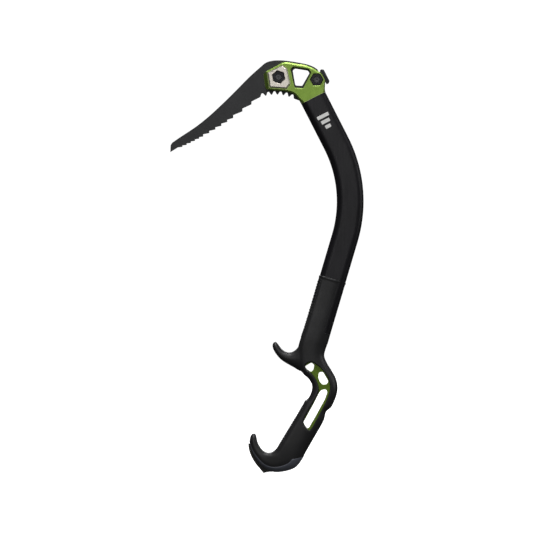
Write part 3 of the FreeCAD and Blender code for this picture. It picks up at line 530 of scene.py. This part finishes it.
# edge is the colour of the painted highlight along the edges; the scuffs are mixed a little towards it too
def anodised(name, light, dark, edge):
    """Bead-blasted, dyed aluminium, brighter along its edges: a painted highlight there, broken up in
    patches.
    """
    shader = Shader(name, light, metallic=0.55, roughness=0.4)
    blotch = shader.spread(shader.noise(60, 3), 0.35, 0.68)
    ground = shader.mixed(blotch, light, dark)
    scuffs = shader.spread(shader.noise(420, 5, stretch=(1, 1, 6), turn=0.6), 0.60, 0.78)
    patches = shader.spread(shader.noise(500, 3), 0.3, 0.6, 0.75, 1.0)
    # painted highlight: the edges take the edge colour, broken up in patches
    lightening_mask = shader.maths("MULTIPLY", shader.edges(1.1), patches)
    edge_highlighted = shader.mixed(lightening_mask, ground, edge)
    shader.colour(shader.mixed(shader.maths("MULTIPLY", scuffs, 0.12), edge_highlighted, edge))
    shader.roughness(shader.spread(shader.noise(900, 3), 0.2, 0.8, 0.34, 0.50))
    shader.bump(shader.noise(5200, 2), 0.16, 0.05)
    return shader.material


def blade_steel(name, base, bright, turn, metallic=0.35):
    """Blasted, dark-finished steel with faint grinding lines, lighter along its edges in patches."""
    shader = Shader(name, base, metallic=metallic, roughness=0.5)
    grain = shader.noise(260, 4, stretch=(1, 1, 14), turn=turn)
    cloud = shader.spread(shader.noise(38, 4), 0.3, 0.7)
    lighter = tuple(c * 1.35 for c in base)
    ground = shader.mixed(cloud, base, lighter)
    ground = shader.mixed(shader.spread(grain, 0.55, 0.85, 0.0, 0.35), ground, lighter)
    patches = shader.spread(shader.noise(700, 3), 0.35, 0.62, 0.25, 1.0)
    # lighter along the edges, broken up in patches
    lightening_mask = shader.maths("MULTIPLY", shader.edges(0.35), patches)
    shader.colour(shader.mixed(lightening_mask, ground, bright))
    shader.roughness(shader.spread(grain, 0.3, 0.7, 0.42, 0.56))
    shader.bump(shader.noise(3600, 3), 0.14, 0.05)
    return shader.material


def brushed_steel():
    shader = Shader("brushed stainless", (0.72, 0.67, 0.60), metallic=0.75, roughness=0.36)
    lines = shader.noise(900, 4, stretch=(1, 1, 0.045), turn=0.35)
    warm = shader.mixed(shader.spread(lines, 0.3, 0.7), (0.62, 0.57, 0.50), (0.88, 0.82, 0.74))
    # painted highlight: the steel is lighter along its edges
    shader.colour(shader.mixed(shader.edges(0.4), warm, (0.95, 0.91, 0.85)))
    shader.roughness(shader.spread(lines, 0.25, 0.75, 0.26, 0.44))
    shader.bump(lines, 0.12, 0.05)
    return shader.material


def black_oxide(name, base, highlight_colour):
    shader = Shader(name, base, metallic=0.6, roughness=0.36)
    cloud = shader.spread(shader.noise(300, 4), 0.35, 0.7)
    ground = shader.mixed(cloud, base, tuple(c * 1.8 for c in base))
    patches = shader.spread(shader.noise(900, 3), 0.35, 0.6, 0.2, 0.9)
    # painted highlight: lighter along the edges, broken up in patches
    lightening_mask = shader.maths("MULTIPLY", shader.edges(0.3), patches)
    shader.colour(shader.mixed(lightening_mask, ground, highlight_colour))
    shader.roughness(shader.spread(shader.noise(1200, 3), 0.3, 0.7, 0.28, 0.44))
    shader.bump(shader.noise(4200, 2), 0.10, 0.04)
    return shader.material


def shaft_finish():
    """Black anodised tube, satin, with faint draw marks along its length."""
    shader = Shader("shaft black", (0.011, 0.012, 0.015), metallic=0.2, roughness=0.4)
    marks = shader.noise(520, 3, stretch=(1, 1, 0.06))
    cloud = shader.spread(shader.noise(30, 4), 0.3, 0.7)
    ground = shader.mixed(cloud, (0.0062, 0.0058, 0.0078), (0.0105, 0.0095, 0.0130))
    # lighter patches of random wear on the tube
    lightening_mask = shader.spread(shader.noise(240, 5), 0.68, 0.80, 0.0, 0.25)
    ground = shader.mixed(lightening_mask, ground, (0.020, 0.020, 0.025))
    shader.colour(shader.mixed(shader.edges(0.35), ground, (0.35, 0.36, 0.38)))
    shader.roughness(shader.spread(marks, 0.3, 0.7, 0.36, 0.48))
    shader.bump(shader.noise(4800, 2), 0.08, 0.04)
    return shader.material


def rubber(name, base, roughness, grain, strength):
    """Moulded rubber: a fine spark-eroded grain, a little dust and handling polish."""
    shader = Shader(name, base, roughness=roughness, Specular_IOR_Level=0.42)
    cloud = shader.spread(shader.noise(45, 4), 0.3, 0.72)
    lighter = tuple(c * 1.45 for c in base)
    ground = shader.mixed(cloud, base, lighter)
    dust = shader.spread(shader.noise(1500, 3), 0.62, 0.78, 0.0, 0.3)
    shader.colour(shader.mixed(dust, ground, tuple(c * 2.2 for c in base)))
    shader.roughness(shader.spread(shader.noise(70, 4), 0.3, 0.7, roughness - 0.07, roughness + 0.07))
    pebble = shader.node("TexVoronoi", {"Vector": shader.coordinates, "Scale": grain}).outputs["Distance"]
    both = shader.maths("ADD", shader.maths("MULTIPLY", pebble, 0.6), shader.noise(grain * 1.7, 2))
    shader.bump(both, strength, 0.06)
    return shader.material


def printed_white():
    shader = Shader("white print", (0.92, 0.92, 0.90), roughness=0.5)
    speck = shader.spread(shader.noise(1600, 4), 0.62, 0.74, 0.0, 0.35)
    shader.colour(shader.mixed(speck, (0.95, 0.95, 0.93), (0.5, 0.5, 0.5)))
    shader.bump(shader.noise(3000, 2), 0.1, 0.03)
    return shader.material


# ---------------------------------------------------------------- dressing the frame

def dress(node, finish):
    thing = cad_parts[node]
    thing.data.materials.clear()
    thing.data.materials.append(finish)


def dress_piece(piece, finish):
    piece.data.materials.clear()
    piece.data.materials.append(finish)
    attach(piece, "root")


def finish_frame():
    # the last colour of each green is the painted highlight along its edges
    green = anodised("head green", (0.30, 0.47, 0.075), (0.23, 0.38, 0.05), (0.86, 0.97, 0.48))
    dark_green = anodised("frame green", (0.20, 0.32, 0.03), (0.14, 0.25, 0.02), (0.62, 0.78, 0.20))
    dress("head", green)
    dress("handle_frame", dark_green)
    dress("pick", blade_steel("pick steel", (0.031, 0.0315, 0.033), (0.12, 0.12, 0.125), -0.9))
    dress("spike", blade_steel("spike steel", (0.030, 0.029, 0.025), (0.14, 0.13, 0.11), 0.6))
    steel = brushed_steel()
    for node in ("near_pick_weight", "far_pick_weight"):
        dress(node, steel)
    # the last colour given to black_oxide here and below is the painted highlight along the edges
    oxide = black_oxide("black oxide", (0.013, 0.013, 0.015), (0.20, 0.19, 0.18))
    for node in ("pick_nuts", "front_washer", "rear_washer"):
        dress(node, oxide)
    bolt_steel = black_oxide("bolt steel", (0.045, 0.045, 0.048), (0.55, 0.54, 0.52))
    for node in ("front_bolt", "rear_bolt"):
        dress(node, bolt_steel)
    dress("micro_hammer", black_oxide("hammer black", (0.012, 0.012, 0.014), (0.14, 0.14, 0.14)))
    dress("shaft_tube", shaft_finish())
    plain = blade_steel("pin steel", (0.25, 0.25, 0.25), (0.5, 0.5, 0.5), 0.0)
    for node in ("tang_pins", "spike_rivets"):
        dress(node, plain)


def dress_handle():
    handle = make_handle()
    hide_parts("handle_overmould", "shaft_grip")
    dress_piece(handle, rubber("handle rubber", (0.0205, 0.0205, 0.0215), 0.40, 2600, 0.22))
    ribs = rubber("rib rubber", (0.015, 0.015, 0.016), 0.46, 3000, 0.15)
    upper = make_upper_ribs()
    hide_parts("shaft_grip_ribs")
    dress_piece(upper, ribs)
    lower = make_lower_ribs()
    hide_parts("lower_grip_ribs")
    dress_piece(lower, ribs)
    rim = make_pommel_rim()
    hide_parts("pommel_guard")
    dress_piece(rim, rubber("rim plastic", (0.100, 0.107, 0.132), 0.28, 3400, 0.08))
    dress_piece(make_mark(), printed_white())


# ---------------------------------------------------------------- studio

CAMERA_AWAY = 3.0
FRAME_WIDE = 0.6396            # the width of the picture, at the tool
SENSOR = 36.0


def make_camera():
    camera = bpy.data.cameras.new("camera")
    camera.sensor_width = SENSOR
    camera.lens = SENSOR * CAMERA_AWAY / FRAME_WIDE
    holder = bpy.data.objects.new("camera", camera)
    holder.location = (-0.0498, -CAMERA_AWAY, 0.1842)
    holder.rotation_euler = (math.pi / 2, 0, 0)
    bpy.context.collection.objects.link(holder)
    bpy.context.scene.camera = holder


def make_floor():
    bm = bmesh.new()
    bmesh.ops.create_circle(bm, cap_ends=True, segments=96, radius=3.0)
    floor = mesh_object("floor", bm, smooth=False)
    floor.location.z = CAD_BOX[0].z - 0.0006
    shader = Shader("floor", (0.9, 0.9, 0.9), roughness=0.8)
    shader.principled.inputs["Emission Color"].default_value = (1, 1, 1, 1)
    shader.principled.inputs["Emission Strength"].default_value = 0.93
    mottle = shader.spread(shader.noise(9, 3), 0.3, 0.7)
    shader.colour(shader.mixed(mottle, (0.86, 0.86, 0.86), (0.9, 0.9, 0.9)))
    floor.data.materials.append(shader.material)
    floor.visible_glossy = False
    floor.visible_diffuse = False


def add_light(name, place, aim, size, power, tint=(1, 1, 1)):
    data = bpy.data.lights.new(name, "AREA")
    data.shape = "RECTANGLE"
    data.size, data.size_y = size
    data.energy = power
    data.color = tint
    lamp = bpy.data.objects.new(name, data)
    lamp.location = place
    lamp.visible_camera = False
    lamp.rotation_euler = (Vector(aim) - Vector(place)).to_track_quat("-Z", "Y").to_euler()
    bpy.context.collection.objects.link(lamp)


def make_light():
    middle = (0.0, 0.0, 0.2)
    add_light("key", (-0.1, -1.5, 2.0), middle, (1.2, 0.8), 22)
    add_light("front", (-0.2, -3.3, 0.7), middle, (1.8, 1.2), 10)
    add_light("top", (0.1, -0.1, 1.7), middle, (1.0, 0.7), 18)
    add_light("right", (1.9, -0.5, 0.6), middle, (0.4, 1.2), 4)
    add_light("behind", (0.3, 2.8, 1.2), middle, (1.8, 1.2), 24)


def make_world():
    """A plain white surround that the camera sees, and that lights the tool only dimly."""
    world = bpy.data.worlds.new("studio")
    bpy.context.scene.world = world
    world.use_nodes = True
    tree = world.node_tree
    tree.nodes.clear()
    seen = tree.nodes.new("ShaderNodeBackground")
    seen.inputs["Strength"].default_value = 1.05
    lit = tree.nodes.new("ShaderNodeBackground")
    lit.inputs["Strength"].default_value = 0.05
    path = tree.nodes.new("ShaderNodeLightPath")
    mix = tree.nodes.new("ShaderNodeMixShader")
    output = tree.nodes.new("ShaderNodeOutputWorld")
    for background in (seen, lit):
        background.inputs["Color"].default_value = (1, 1, 1, 1)
    tree.links.new(path.outputs["Is Camera Ray"], mix.inputs[0])
    tree.links.new(lit.outputs[0], mix.inputs[1])
    tree.links.new(seen.outputs[0], mix.inputs[2])
    tree.links.new(mix.outputs[0], output.inputs["Surface"])
    bpy.context.scene.view_settings.view_transform = "Standard"


finish_frame()
dress_handle()
make_camera()
make_floor()
make_light()
make_world()
